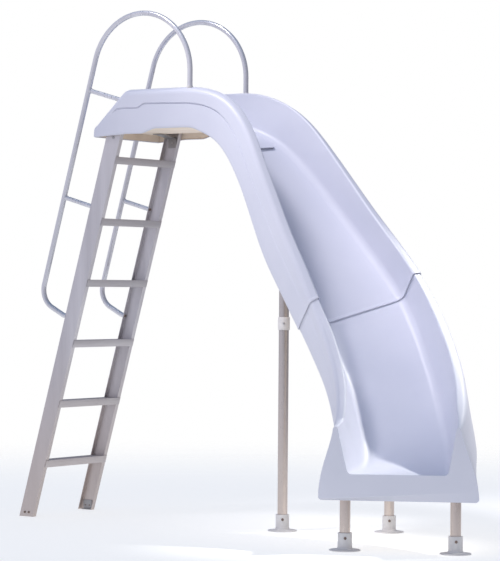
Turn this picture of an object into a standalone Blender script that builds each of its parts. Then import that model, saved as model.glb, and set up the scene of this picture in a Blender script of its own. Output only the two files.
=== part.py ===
"""Pool slide: a two-piece moulded chute that curves to the rider's right, on a ladder, a post and three legs.

Design frame, in metres: X is the rider's heading off the platform, Y is the rider's left, Z is up. The ladder's
feet meet the floor with their front edges on X = 0 and the ladder's centre plane is Y = 0. An empty carries
every part and moves the assembly so that the world origin lies under the middle of its bounding box.
"""
import math

import bmesh
import bpy
import numpy as np
from mathutils import Matrix, Vector

GAP = 0.0003                      # clearance between pieces that touch

# Ladder
LEAN = math.radians(15.66)        # rails' lean from the vertical, towards the chute
LADDER_WIDTH = 0.508              # over the rails' webs
RAIL_DEPTH = 0.088                # front to back, level
FLANGE = 0.0254
RAIL_WALL = 0.003
RAIL_TOP = 2.000
TREAD_PITCH = 0.3048
FIRST_TREAD = 0.288
TREADS = 6
TREAD_FRONT = 0.036               # height of a tread's front face
TREAD_BACK = 0.024
TREAD_SKIN = 0.003
TREAD_RIBS = 7
RIB_DEPTH = 0.0016
FOOT_BOLT_HEIGHT = 0.022

# Handrails and braces
HANDRAIL_Y = 0.2425
TUBE_R = 0.0127
BRACE_R = 0.011
HOOP_R = 0.294
HOOP_X, HOOP_Z = 0.652, 2.220
FRONT_LEG_END = 2.075             # inside the rim's hollow
HOOK_BEND_R = 0.100
HOOK_TURN = math.radians(27.6)    # the hook's fall from the level
HOOK_Z = 1.018                    # where the hook meets the rail
LOWER_BRACE_Z = 1.616
UPPER_BRACE_Z = 2.148
UPPER_BRACE_REACH = 0.222

# Chute: the line down the middle of its floor, by plan length from the back lip
BACK_LIP_X = 0.386
PLATFORM_Z = 1.951
BREAK_X = 1.0838                  # where the flume's plan length is counted from
FLUME = 1.5147                    # plan length from there to the exit
TURN = math.radians(69.5)
TURN_POWER = 2.47
TURN_END = 0.884                  # share of the flume at which the turn is complete
STEEP = math.radians(52.9)
CREST_START, CREST_LENGTH = -0.193, 0.385
RUNOUT_START = 0.636
EXIT_SLOPE = math.radians(7.9)
LAP = 0.455                       # share of the flume at which the upper moulding ends
TONGUE = 0.030                    # share of the flume that the lower moulding runs on under the upper one
SAMPLES = 481

# Chute: the section. Each table gives (share of the flume, value); shares below 0 lie on the platform.
SHELL = 0.004
LAP_SINK = SHELL + 0.001
BANK = ((0.0, 0.0), (0.15, 17.0), (0.30, 25.0), (0.455, 29.0), (0.60, 24.5), (0.75, 16.0), (0.90, 4.5),
        (1.0, 0.0))
FLOOR_DIP = ((0.0, 0.0), (0.15, 0.016), (0.30, 0.046), (0.455, 0.063), (0.60, 0.053), (0.75, 0.028),
             (0.90, 0.013), (1.0, 0.0))
NEAR_WALL = ((-0.461, 0.016), (-0.340, 0.190), (0.0, 0.190), (0.15, 0.230), (0.30, 0.247), (0.455, 0.278),
             (0.60, 0.278), (0.75, 0.272), (0.90, 0.241), (1.0, 0.210))
FAR_WALL = ((-0.461, 0.016), (-0.340, 0.190), (0.0, 0.193), (0.15, 0.180), (0.30, 0.185), (0.455, 0.222),
            (0.60, 0.256), (0.75, 0.267), (0.90, 0.244), (1.0, 0.210))
NEAR_RIM = ((0.0, 0.248), (0.30, 0.255), (0.455, 0.243), (0.60, 0.238), (0.75, 0.257), (0.90, 0.270), (1.0, 0.276))
FAR_RIM = ((0.0, 0.248), (0.15, 0.265), (0.30, 0.286), (0.455, 0.308), (0.60, 0.296), (0.90, 0.289), (1.0, 0.276))
NEAR_LEAN = ((0.0, 11.0), (0.45, 9.0), (1.0, 11.0))
FAR_LEAN = ((0.0, 11.0), (0.15, 4.0), (0.30, 1.5), (0.455, 2.5), (0.60, 10.0), (0.75, 16.0), (0.90, 15.0),
            (1.0, 11.0))
RIM_HALF = ((0.0, 0.025), (0.86, 0.025), (1.0, 0.0095))
SKIRT_DEPTH = ((-0.461, 0.058), (-0.340, 0.220), (-0.268, 0.221), (-0.222, 0.198), (-0.072, 0.198), (-0.010, 0.214),
               (0.05, 0.192), (0.15, 0.172), (0.30, 0.224), (0.455, 0.255), (0.60, 0.233), (0.75, 0.216), (0.90, 0.257),
               (1.0, 0.342))
NEAR_FLARE = ((-0.461, 0.002), (0.0, 0.004), (0.30, 0.020), (0.80, 0.024), (0.93, 0.045), (1.0, 0.082))
FAR_FLARE = ((-0.461, 0.002), (0.0, 0.004), (0.30, 0.016), (0.80, 0.002), (0.93, 0.022), (1.0, 0.082))
FLARE_POWER = 1.3
SKIRT_LIP = ((-0.461, 0.008), (0.90, 0.008), (1.0, 0.018))
CREASE_DEPTH = ((-0.461, 0.030), (-0.385, 0.030), (-0.340, 0.088), (-0.285, 0.092), (-0.262, 0.070), (-0.05, 0.078),
                (1.0, 0.090))
CREASE_STEP = ((-0.461, 0.0), (-0.390, 0.0), (-0.365, 0.004), (0.0, 0.004), (0.25, 0.0015), (1.0, 0.0005))
CREASE_HEIGHT = 0.004
FLOOR_CORNER = ((0.0, 0.040), (0.85, 0.040), (1.0, 0.022))
RIM_SLOPE = math.radians(16.0)    # the rim's top falls outward from its inner edge
RIM_INNER_R = 0.009
RIM_OUTER_R = 0.030
PLATFORM_BLUR, FLUME_BLUR = 0.050, 0.220   # length over which the tables' corners are rounded
UPPER_STATIONS = (-0.461, -0.435, -0.405, -0.375, -0.348, -0.325, -0.30, -0.272, -0.25, -0.225, -0.20, -0.14, -0.08,
                  -0.045, -0.01, 0.025, 0.06, 0.10, 0.145, 0.19, 0.24, 0.29, 0.34, 0.385, LAP - TONGUE, LAP)
LOWER_STATIONS = (LAP - TONGUE, LAP, 0.49, 0.53, 0.57, 0.61, 0.65, 0.69, 0.73, 0.77, 0.81, 0.85, 0.89, 0.93, 0.965, 1.0)

# Water outlet
HOOD_STATIONS = (-0.015, 0.005, 0.02, 0.035, 0.05, 0.058, 0.063)
HOOD_HALF = 0.148
HOOD_CORNER = 0.016
HOOD_SKIN = 0.003
HOOD_RISE = 0.006
HOOD_SEAT = 0.0012
HOOD_SIDE = 0.006
INLET_SHARE = 0.014
INLET_R = 0.0125
INLET_DROP = 0.060
NUT_HEIGHT = 0.022
NUT_R = 0.0215

# Post, legs and their sockets
LEG_R = 0.02415
LEG_WALL = 0.003
POST_XY = (1.383, -0.062)
FRONT_LEG_SHARE = 0.954
FRONT_LEG_OFFSET = 0.249
REAR_LEG_XY = (1.820, 0.205)
SOCKET_R = 0.0325
SOCKET_TOP = 0.081
SOCKET_FLOOR = 0.006
FLANGE_R = 0.071
SET_SCREW_Z = 0.058
SET_SCREW_TURN = math.radians(-56.0)
CLAMP_Z = 0.967
CLAMP_HEIGHT = 0.062
BRACKET_PLATE = 0.006
PLATE_HALF = 0.022
CUP_R = 0.030
CUP_GRIP = 0.045


def clear_scene():
    for old in list(bpy.data.objects):
        bpy.data.objects.remove(old, do_unlink=True)


def new_collection(name):
    made = bpy.data.collections.new(name)
    bpy.context.scene.collection.children.link(made)
    return made


clear_scene()
PARTS = new_collection("pool_slide")
CUTTERS = new_collection("cutters")
FRAME = bpy.data.objects.new("slide_frame", None)
PARTS.objects.link(FRAME)


def finish(name, color, roughness, metallic=0.0):
    made = bpy.data.materials.new(name)
    made.use_nodes = True
    shader = made.node_tree.nodes["Principled BSDF"]
    shader.inputs["Base Color"].default_value = (*color, 1.0)
    shader.inputs["Roughness"].default_value = roughness
    shader.inputs["Metallic"].default_value = metallic
    return made


# Colours
MOULDED = (0.78, 0.79, 0.86)
ALUMINIUM = (0.60, 0.57, 0.56)
TUBE_METAL = (0.66, 0.66, 0.67)
BRIGHT_STEEL = (0.45, 0.45, 0.46)
DARK_STEEL = (0.08, 0.08, 0.09)
PALE_PLASTIC = (0.80, 0.80, 0.82)
DARK_RUBBER = (0.12, 0.12, 0.13)


def add_part(name, mesh, color, roughness, metallic=0.0, smooth_angle=35.0):
    mesh.materials.clear()
    mesh.materials.append(finish(name, color, roughness, metallic))
    mesh.shade_smooth()
    mesh.set_sharp_from_angle(angle=math.radians(smooth_angle))
    made = bpy.data.objects.new(name, mesh)
    made.parent = FRAME
    PARTS.objects.link(made)
    return made


def add_cutter(mesh, matrix):
    made = bpy.data.objects.new("cutter", mesh)
    made.matrix_world = matrix
    made.parent = FRAME
    made.hide_render = True
    made.display_type = 'WIRE'
    CUTTERS.objects.link(made)
    return made


def apply_boolean(target, tool, operation='DIFFERENCE'):
    cut = target.modifiers.new(operation.title(), 'BOOLEAN')
    cut.object = tool
    cut.operation = operation
    cut.solver = 'EXACT'


def along(direction, place):
    """Matrix that stands local +Z along a direction, with its origin at a place."""
    turn = Vector((0, 0, 1)).rotation_difference(Vector(direction)).to_matrix().to_4x4()
    return Matrix.Translation(place) @ turn


def cylinder_mesh(name, radius, length, sides=24, caps=True):
    """Cylinder on local Z, from z = 0 up to its length."""
    bm = bmesh.new()
    bmesh.ops.create_cone(bm, cap_ends=caps, segments=sides, radius1=radius, radius2=radius, depth=length)
    bmesh.ops.translate(bm, verts=bm.verts, vec=(0, 0, length / 2))
    mesh = bpy.data.meshes.new(name)
    bm.to_mesh(mesh)
    bm.free()
    return mesh


def box_mesh(name, low, high):
    bm = bmesh.new()
    bmesh.ops.create_cube(bm, size=1.0)
    size = [h - l for l, h in zip(low, high)]
    middle = [(h + l) / 2 for l, h in zip(low, high)]
    bmesh.ops.scale(bm, verts=bm.verts, vec=size)
    bmesh.ops.translate(bm, verts=bm.verts, vec=middle)
    mesh = bpy.data.meshes.new(name)
    bm.to_mesh(mesh)
    bm.free()
    return mesh


def drill(target, place, direction, radius, length, sides=16):
    """Round hole from a place, along a direction."""
    tool = add_cutter(cylinder_mesh("drill", radius, length, sides), along(direction, place))
    apply_boolean(target, tool)


def settle(maker):
    """Evaluated mesh of a helper object, with its loose caps welded; the helper is removed."""
    bpy.context.view_layer.update()
    graph = bpy.context.evaluated_depsgraph_get()
    mesh = bpy.data.meshes.new_from_object(maker.evaluated_get(graph))
    mesh.transform(maker.matrix_world)
    bm = bmesh.new()
    bm.from_mesh(mesh)
    bmesh.ops.remove_doubles(bm, verts=bm.verts, dist=0.00001)
    bmesh.ops.recalc_face_normals(bm, faces=bm.faces)
    bm.to_mesh(mesh)
    bm.free()
    bpy.data.objects.remove(maker, do_unlink=True)
    return mesh


def tube_mesh(name, points, radius, resolution=3):
    """Round bar along a line of points, with flat ends."""
    curve = bpy.data.curves.new(name, 'CURVE')
    curve.dimensions = '3D'
    curve.bevel_depth = radius
    curve.bevel_resolution = resolution
    curve.use_fill_caps = True
    line = curve.splines.new('POLY')
    line.points.add(len(points) - 1)
    for knot, place in zip(line.points, points):
        knot.co = (*place, 1.0)
    maker = bpy.data.objects.new(name, curve)
    CUTTERS.objects.link(maker)
    return settle(maker)


def outline_mesh(name, points, thickness, matrix):
    """Flat outline in local XY, given its thickness along local Z, half each way."""
    curve = bpy.data.curves.new(name, 'CURVE')
    curve.dimensions = '2D'
    curve.fill_mode = 'BOTH'
    curve.extrude = thickness / 2
    line = curve.splines.new('POLY')
    line.points.add(len(points) - 1)
    for knot, (x, y) in zip(line.points, points):
        knot.co = (x, y, 0.0, 1.0)
    line.use_cyclic_u = True
    maker = bpy.data.objects.new(name, curve)
    maker.matrix_world = matrix
    CUTTERS.objects.link(maker)
    return settle(maker)


def turned_mesh(name, profile, steps=24):
    """Profile of (radius, height) points, top to bottom down the outer side, turned about local Z."""
    bm = bmesh.new()
    knots = [bm.verts.new((r, 0.0, z)) for r, z in profile]
    for one, two in zip(knots, knots[1:]):
        bm.edges.new((one, two))
    if profile[0][0] > 0:
        bm.edges.new((knots[-1], knots[0]))
    mesh = bpy.data.meshes.new(name)
    bm.to_mesh(mesh)
    bm.free()
    maker = bpy.data.objects.new(name, mesh)
    screw = maker.modifiers.new("Turn", 'SCREW')
    screw.steps = screw.render_steps = steps
    screw.use_merge_vertices = True
    screw.merge_threshold = 0.00001
    CUTTERS.objects.link(maker)
    return settle(maker)


def turned_part(name, profile, matrix, color, roughness, metallic=0.0, steps=24):
    mesh = turned_mesh(name, profile, steps)
    made = add_part(name, mesh, color, roughness, metallic)
    made.matrix_world = matrix
    return made


def bolt(name, place, direction, head_r, head_h, shank_r, shank_l, color=BRIGHT_STEEL):
    """Button-head bolt: its head's seat is at the place, and its shank runs back against the direction."""
    profile = ((0, head_h), (head_r * 0.62, head_h), (head_r, head_h * 0.35), (head_r, 0),
               (shank_r, 0), (shank_r, -shank_l), (0, -shank_l))
    return turned_part(name, profile, along(direction, place), color, 0.35, 0.9, steps=12)


# ---------------------------------------------------------------------------------------------- chute line

def smooth_step(x):
    x = np.clip(x, 0.0, 1.0)
    return x * x * (3 - 2 * x)


def blurred(values, width, spacing):
    half = max(1, int(round(width / spacing / 2)))
    weights = np.hanning(2 * half + 1)
    weights /= weights.sum()
    padded = np.concatenate([np.full(half, values[0]), values, np.full(half, values[-1])])
    return np.convolve(padded, weights, 'valid')


def running_sum(values, spacing):
    return np.concatenate([[0.0], np.cumsum((values[1:] + values[:-1]) / 2 * spacing)])


PLAN = np.linspace(0.0, BREAK_X - BACK_LIP_X + FLUME, SAMPLES)
SPACING = PLAN[1] - PLAN[0]
SHARE = (PLAN - (BREAK_X - BACK_LIP_X)) / FLUME


def table(pairs):
    """Values along the chute, with the table's corners rounded closely on the platform and widely on the flume."""
    shares, values = zip(*pairs)
    straight = np.interp(SHARE, shares, values)
    flume = smooth_step((SHARE + 0.10) / 0.15)
    return blurred(straight, PLATFORM_BLUR, SPACING) * (1 - flume) + blurred(straight, FLUME_BLUR, SPACING) * flume


TABLES = {name: table(pairs) for name, pairs in {
    "bank": BANK, "dip": FLOOR_DIP, "near_wall": NEAR_WALL, "far_wall": FAR_WALL, "near_rim": NEAR_RIM,
    "far_rim": FAR_RIM, "near_lean": NEAR_LEAN, "far_lean": FAR_LEAN, "rim_half": RIM_HALF, "skirt": SKIRT_DEPTH,
    "near_flare": NEAR_FLARE, "far_flare": FAR_FLARE, "corner": FLOOR_CORNER, "lip": SKIRT_LIP,
    "crease": CREASE_DEPTH, "step": CREASE_STEP}.items()}


def chute_line():
    """Middle of the floor at each sample, with the heading, across and up directions there."""
    share = np.clip(SHARE, 0.0, 1.0)
    heading = blurred(-TURN * np.minimum(share / TURN_END, 1.0) ** TURN_POWER, 0.283, SPACING)
    runout = smooth_step((share - RUNOUT_START) / (1 - RUNOUT_START))
    crest = smooth_step((PLAN - (BREAK_X - BACK_LIP_X) - CREST_START) / CREST_LENGTH)
    slope = STEEP * crest * (1 - runout) + EXIT_SLOPE * runout
    path = np.stack([BACK_LIP_X + running_sum(np.cos(heading), SPACING),
                     running_sum(np.sin(heading), SPACING),
                     PLATFORM_Z - running_sum(np.tan(slope), SPACING)], 1)
    ahead = np.stack([np.cos(heading) * np.cos(slope), np.sin(heading) * np.cos(slope), -np.sin(slope)], 1)
    level = np.stack([-np.sin(heading), np.cos(heading), 0 * heading], 1)
    square = np.cross(ahead, level)
    bank = np.radians(TABLES["bank"])[:, None]
    left = level * np.cos(bank) + square * np.sin(bank)
    up = square * np.cos(bank) - level * np.sin(bank)
    return path - up * TABLES["dip"][:, None], ahead, left, up


MIDDLE, AHEAD, LEFT, UP = chute_line()


def at(values, share):
    if values.ndim == 1:
        return float(np.interp(share, SHARE, values))
    return np.array([np.interp(share, SHARE, column) for column in values.T])


def station(share):
    """Middle of the floor, and the heading, left and up directions, as vectors."""
    return [Vector(at(values, share)) for values in (MIDDLE, AHEAD, LEFT, UP)]


def arc(cx, cy, radius, start, end, steps):
    angles = np.linspace(math.radians(start), math.radians(end), steps + 1)
    return [(cx + radius * math.cos(a), cy + radius * math.sin(a)) for a in angles]


def half_section(share, side):
    """One side of the section, from the skirt's lower lip, over the rim and down to the floor's flat."""
    wall, rim, lean, half, skirt, flare, lip, crease, step = (at(TABLES[key], share) for key in (
        side + "_wall", side + "_rim", side + "_lean", "rim_half", "skirt", side + "_flare", "lip", "crease", "step"))
    outer, inner = rim + half, rim - half
    inner_r = min(RIM_INNER_R, half * 0.7, wall * 0.4)
    outer_r = min(RIM_OUTER_R, 2 * half - inner_r - 0.001)
    shoulder_z = (wall - inner_r - (outer_r - inner_r) / math.cos(RIM_SLOPE)
                  - (outer - outer_r - inner - inner_r) * math.tan(RIM_SLOPE))
    bottom = wall - skirt
    fall = shoulder_z - bottom

    def panel(height, inset):
        share_down = (shoulder_z - height) / fall
        return outer + flare * math.sin(share_down * math.pi / 2) ** FLARE_POWER - inset, height

    crease_z = min(max(wall - crease, bottom + 0.4 * fall), shoulder_z - 0.1 * fall)
    low_x = panel(bottom, step)[0]
    points = [(low_x - lip, bottom), (low_x - lip * 0.25, bottom + lip * 0.25), panel(bottom + lip, step)]
    points += [panel(bottom + lip + (crease_z - CREASE_HEIGHT - bottom - lip) * k / 3, step) for k in (1, 2, 3)]
    points.append(panel(crease_z, 0.0))
    top = 90 - math.degrees(RIM_SLOPE)
    points += arc(outer - outer_r, shoulder_z, outer_r, 0, top, 3)
    points += arc(inner + inner_r, wall - inner_r, inner_r, top, 180, 3)
    lean = math.radians(lean)
    corner = min(at(TABLES["corner"], share), 0.45 * wall)
    corner_x = inner - (wall - inner_r - corner) * math.tan(lean) - corner / math.cos(lean)
    points += arc(corner_x, corner, corner, -math.degrees(lean), -90, 4)
    return points


def section(share, sink=0.0):
    """Whole section as (across, up) points, sunk below the slide surface by a distance."""
    near = [(-a, b) for a, b in half_section(share, "near")]
    far = half_section(share, "far")
    flat = np.array(near + [(0.0, 0.0)] + far[::-1])
    if sink:
        run = np.diff(flat, axis=0)
        run /= np.linalg.norm(run, axis=1)[:, None]
        normal = np.stack([-run[:, 1], run[:, 0]], 1)
        first = np.vstack([normal[:1], normal])
        second = np.vstack([normal, normal[-1:]])
        both = first + second
        both /= np.linalg.norm(both, axis=1)[:, None]
        reach = sink / np.maximum((both * first).sum(1), 0.5)
        flat = flat - both * reach[:, None]
    return flat


def chute_shell(name, stations, closed_end, sink):
    """Skin lofted through the stations, closed by a flat end, then thickened away from the slide surface."""
    bm = bmesh.new()
    rings = []
    for share in stations:
        middle, ahead, left, up = station(share)
        rings.append([bm.verts.new(middle + left * a + up * b) for a, b in section(share, sink(share))])
    for one, two in zip(rings, rings[1:]):
        for j in range(len(one) - 1):
            bm.faces.new((one[j], two[j], two[j + 1], one[j + 1]))
    bm.faces.new(rings[0] if closed_end == 0 else rings[-1][::-1])
    mesh = bpy.data.meshes.new(name)
    bm.to_mesh(mesh)
    bm.free()
    made = add_part(name, mesh, MOULDED, 0.35)
    skin = made.modifiers.new("Thickness", 'SOLIDIFY')
    skin.thickness = SHELL
    skin.offset = -1.0
    skin.use_even_offset = True
    skin.use_quality_normals = True
    return made


def upper_sink(share):
    return 0.0


def lower_sink(share):
    """The lower moulding lies under the upper one at the lap and comes up to the design surface below it."""
    return LAP_SINK * float(1 - smooth_step((share - LAP) / 0.10))


# ---------------------------------------------------------------------------------------------- ladder

RAIL_UP = Vector((math.sin(LEAN), 0, math.cos(LEAN)))
RAIL_AHEAD = Vector((math.cos(LEAN), 0, -math.sin(LEAN)))
HALF_LADDER = LADDER_WIDTH / 2
LEVEL_WALL = RAIL_WALL / math.cos(LEAN)
SIDES = (("right", -1), ("left", 1))
SHEAR = Matrix(((1, 0, math.tan(LEAN), 0), (0, 1, 0, 0), (0, 0, 1, 0), (0, 0, 0, 1)))


def rail_front(z):
    return z * math.tan(LEAN)


def ladder_rail(side, sign):
    """C channel: the web outside, the flanges inward, its foot and top cut level."""
    web, tip, inside = sign * HALF_LADDER, sign * (HALF_LADDER - FLANGE), sign * (HALF_LADDER - RAIL_WALL)
    back = -RAIL_DEPTH
    outline = [(back, web), (0, web), (0, tip), (-LEVEL_WALL, tip), (-LEVEL_WALL, inside),
               (back + LEVEL_WALL, inside), (back + LEVEL_WALL, tip), (back, tip)]
    mesh = outline_mesh("rail", outline, RAIL_TOP, Matrix.Translation((0, 0, RAIL_TOP / 2)))
    mesh.transform(SHEAR)
    return add_part(f"ladder_rail_{side}", mesh, ALUMINIUM, 0.42, 0.85)


def tread(number):
    """Extruded tread: ribbed top, front lip over the rails' flanges, back lip between them."""
    front, back = 0.0035, -RAIL_DEPTH + LEVEL_WALL + 0.0015
    top = [(front, -TREAD_FRONT), (front, -0.0015), (front - 0.0015, 0.0)]
    pitch = (front - back) / (TREAD_RIBS + 0.5)
    for k in range(TREAD_RIBS):
        start = front - pitch * (k + 0.75)
        top += [(start, 0.0), (start - 0.0015, -RIB_DEPTH), (start - 0.0045, -RIB_DEPTH), (start - 0.006, 0.0)]
    top += [(back, 0.0), (back, -TREAD_BACK), (back + TREAD_SKIN, -TREAD_BACK),
            (back + TREAD_SKIN, -TREAD_SKIN - RIB_DEPTH), (front - TREAD_SKIN, -TREAD_SKIN - RIB_DEPTH),
            (front - TREAD_SKIN, -TREAD_FRONT)]
    height = FIRST_TREAD + number * TREAD_PITCH
    length = 2 * (HALF_LADDER - RAIL_WALL - 0.0005)
    stand = Matrix.Rotation(math.radians(90), 4, 'X')
    mesh = outline_mesh("tread", top, length, stand)
    mesh.transform(Matrix.Translation((rail_front(height), 0, height)) @ SHEAR)
    made = add_part(f"tread_{number + 1}", mesh, ALUMINIUM, 0.40, 0.85)
    for _side, sign in SIDES:
        near, far = sorted((sign * (HALF_LADDER - FLANGE - 0.0005), sign * (HALF_LADDER + 0.002)))
        notch = box_mesh("notch", (-LEVEL_WALL - 0.0005, near, -0.06), (0.0008, far, 0.02))
        notch.transform(SHEAR)
        apply_boolean(made, add_cutter(notch, Matrix.Translation((rail_front(height), 0, height))))
    return made


def foot_bracket(side, sign, rail):
    """Angle inside the rail's foot, with two bolts through the rail's web."""
    web = HALF_LADDER - RAIL_WALL - GAP
    outline = [(sign * web, 0), (sign * web, 0.05), (sign * (web - 0.004), 0.05), (sign * (web - 0.004), 0.004),
               (sign * (web - 0.021), 0.004), (sign * (web - 0.021), 0)]
    across = Matrix(((0, 0, 1, 0), (1, 0, 0, 0), (0, 1, 0, 0), (0, 0, 0, 1)))
    mesh = outline_mesh("foot_bracket", outline, 0.054, Matrix.Translation((-0.038, 0, 0)) @ across)
    made = add_part(f"ladder_foot_bracket_{side}", mesh, ALUMINIUM, 0.5, 0.8)
    for row, x in (("back", -0.052), ("front", -0.026)):
        place = Vector((x, sign * (HALF_LADDER + GAP), FOOT_BOLT_HEIGHT))
        for piece in (rail, made):
            drill(piece, place + Vector((0, sign * 0.01, 0)), (0, -sign, 0), 0.0036, 0.030, 12)
        bolt(f"foot_bolt_{row}_{side}", place, (0, sign, 0), 0.006, 0.0035, 0.0032, 0.010, DARK_STEEL)
    return made


def platform_bracket(side, sign, rail):
    """Angle on the rail's top end, under the platform floor, with one bolt through the rail's web."""
    web = HALF_LADDER - RAIL_WALL - GAP
    top = PLATFORM_Z - SHELL - 0.0008
    outline = [(sign * web, top - 0.066), (sign * web, top - 0.012), (sign * (web - 0.005), top - 0.012),
               (sign * (web - 0.110), top), (sign * 0.110, top), (sign * 0.110, top - 0.005),
               (sign * (web - 0.110), top - 0.005), (sign * (web - 0.005), top - 0.020),
               (sign * (web - 0.005), top - 0.066)]
    across = Matrix(((0, 0, 1, 0), (1, 0, 0, 0), (0, 1, 0, 0), (0, 0, 0, 1)))
    mesh = outline_mesh("platform_bracket", outline, 0.050, Matrix.Translation((0.492, 0, 0)) @ across)
    made = add_part(f"platform_bracket_{side}", mesh, ALUMINIUM, 0.5, 0.8)
    place = Vector((0.492, sign * (HALF_LADDER + GAP), top - 0.040))
    for piece in (rail, made):
        drill(piece, place + Vector((0, sign * 0.01, 0)), (0, -sign, 0), 0.0042, 0.030, 12)
    bolt(f"platform_bolt_{side}", place, (0, sign, 0), 0.007, 0.004, 0.0038, 0.012)
    return made


# ---------------------------------------------------------------------------------------------- handrails

def rear_leg_x(z):
    """Axis of the handrail's rear leg, which runs parallel to the ladder."""
    return HOOP_X - HOOP_R * math.cos(LEAN) - (HOOP_Z + HOOP_R * math.sin(LEAN) - z) * math.tan(LEAN)


def back_of_rail(z):
    return rail_front(z) - RAIL_DEPTH


def reach_to_rail(x, z):
    """Distance from a point to the rail's back face, square to the rail."""
    return (back_of_rail(z) - x) * math.cos(LEAN)


def hook_corner():
    """Where the rear leg's line meets the hook's line, and the hook's last point before the rail."""
    end = Vector((back_of_rail(HOOK_Z), 0, HOOK_Z)) - RAIL_AHEAD * 0.020
    fall = Vector((math.cos(HOOK_TURN), 0, -math.sin(HOOK_TURN)))
    offset = rear_leg_x(end.z) - end.x
    back = -offset / (fall.x + fall.z * -math.tan(LEAN)) if offset else 0.0
    return end - fall * back, end, fall


def handrail_points():
    front_x = HOOP_X + HOOP_R
    points = [(front_x, FRONT_LEG_END), (front_x, 2.16)]
    points += arc(HOOP_X, HOOP_Z, HOOP_R, 0, 180 - math.degrees(LEAN), 18)
    corner, end, fall = hook_corner()
    turn = math.pi / 2 + LEAN - HOOK_TURN
    tangent = HOOK_BEND_R * math.tan(turn / 2)
    start = corner + RAIL_UP * tangent
    centre = start + RAIL_AHEAD * HOOK_BEND_R
    low = 180 - math.degrees(LEAN)
    points += arc(centre.x, centre.z, HOOK_BEND_R, low, low + math.degrees(turn), 7)
    points.append((end.x, end.z))
    last = Vector((back_of_rail(HOOK_Z), 0, HOOK_Z)) - RAIL_AHEAD * GAP
    points.append((last.x, last.z))
    return points


def rail_bolt(name, height, sign, rail, tube):
    """Bolt from inside the channel, through the back flange and into the end of a tube."""
    middle = Vector((back_of_rail(height), sign * HANDRAIL_Y, height))
    seat = middle + RAIL_AHEAD * (RAIL_WALL + GAP)
    for piece in (rail, tube):
        drill(piece, seat + RAIL_AHEAD * 0.004, -RAIL_AHEAD, 0.0036, 0.024, 12)
    bolt(name, seat, RAIL_AHEAD, 0.0065, 0.004, 0.0032, 0.014, DARK_STEEL)


def handrail(side, sign, rail, chute):
    points = [(x, sign * HANDRAIL_Y, z) for x, z in handrail_points()]
    made = add_part(f"handrail_{side}", tube_mesh("handrail", points, TUBE_R), TUBE_METAL, 0.38, 0.8)
    top = PLATFORM_Z + NEAR_WALL[2][1]
    front = Vector((HOOP_X + HOOP_R, sign * HANDRAIL_Y, top))
    drill(chute, front + Vector((0, 0, -0.020)), (0, 0, 1), 0.0153, 0.040, 20)
    grommet = ((0.0132, 0.0045), (0.0142, 0.0045), (0.0149, 0.003), (0.0149, -0.014), (0.0132, -0.014))
    turned_part(f"handrail_grommet_{side}", grommet, Matrix.Translation(front), PALE_PLASTIC, 0.5)
    rail_bolt(f"hook_bolt_{side}", HOOK_Z, sign, rail, made)


def brace(name, side, sign, height, reach):
    """Straight tube square to the ladder, coped round the handrail's rear leg."""
    leg = Vector((rear_leg_x(height), sign * HANDRAIL_Y, height))
    mesh = cylinder_mesh(name, BRACE_R, reach, 16)
    made = add_part(f"{name}_{side}", mesh, TUBE_METAL, 0.38, 0.8)
    made.matrix_world = along(RAIL_AHEAD, leg)
    cope = add_cutter(cylinder_mesh("cope", TUBE_R + 0.0004, 0.08, 24), along(RAIL_UP, leg - RAIL_UP * 0.04))
    apply_boolean(made, cope)
    return made, leg


def lower_brace(side, sign, rail):
    reach = reach_to_rail(rear_leg_x(LOWER_BRACE_Z), LOWER_BRACE_Z) - GAP
    made, leg = brace("handrail_brace_lower", side, sign, LOWER_BRACE_Z, reach)
    end = leg + RAIL_AHEAD * reach
    rail_bolt(f"brace_bolt_{side}", end.z, sign, rail, made)


def upper_brace(side, sign, chute):
    made, leg = brace("handrail_brace_upper", side, sign, UPPER_BRACE_Z, UPPER_BRACE_REACH)
    drill(chute, leg + RAIL_AHEAD * 0.150, RAIL_AHEAD, BRACE_R + 0.0006, 0.080, 20)


# ---------------------------------------------------------------------------------------------- supports

def leg_tube(name, x, y, top):
    """Open tube standing in its socket."""
    base = SOCKET_FLOOR + GAP
    mesh = cylinder_mesh(name, LEG_R, top - base, 24, caps=False)
    made = add_part(name, mesh, TUBE_METAL, 0.35, 0.85)
    made.location = (x, y, base)
    wall = made.modifiers.new("Wall", 'SOLIDIFY')
    wall.thickness = LEG_WALL
    wall.offset = -1.0
    wall.use_even_offset = True
    return made


def socket(name, x, y):
    """Floor flange with a coned foot and a blind bore for the tube, and its set screw."""
    bore = LEG_R + 0.0004
    profile = ((0, SOCKET_FLOOR), (bore, SOCKET_FLOOR), (bore, SOCKET_TOP), (SOCKET_R - 0.0015, SOCKET_TOP),
               (SOCKET_R, SOCKET_TOP - 0.0015), (SOCKET_R, 0.026), (SOCKET_R + 0.006, 0.014), (FLANGE_R - 0.003, 0.006),
               (FLANGE_R, 0.0045), (FLANGE_R, 0), (0, 0))
    made = turned_part(f"{name}_socket", profile, Matrix.Translation((x, y, 0)), PALE_PLASTIC, 0.5, steps=28)
    aim = Vector((math.cos(SET_SCREW_TURN), math.sin(SET_SCREW_TURN), 0))
    seat = Vector((x, y, SET_SCREW_Z)) + aim * (SOCKET_R + 0.0004)
    drill(made, seat + aim * 0.004, -aim, 0.0042, 0.0135, 12)
    bolt(f"{name}_set_screw", seat, aim, 0.0065, 0.0045, 0.0038, 0.0070, DARK_STEEL)


def floor_frame(share, offset):
    """Point on the chute's floor away from its middle, with the surface's own ahead, left and up there."""
    step = 0.01
    before, after = (station(share + sign * step) for sign in (-1, 1))
    middle, _ahead, left, _up = station(share)
    ahead = ((after[0] + after[2] * offset) - (before[0] + before[2] * offset)).normalized()
    up = ahead.cross(left).normalized()
    return middle + left * offset, ahead, up.cross(ahead), up


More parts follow.
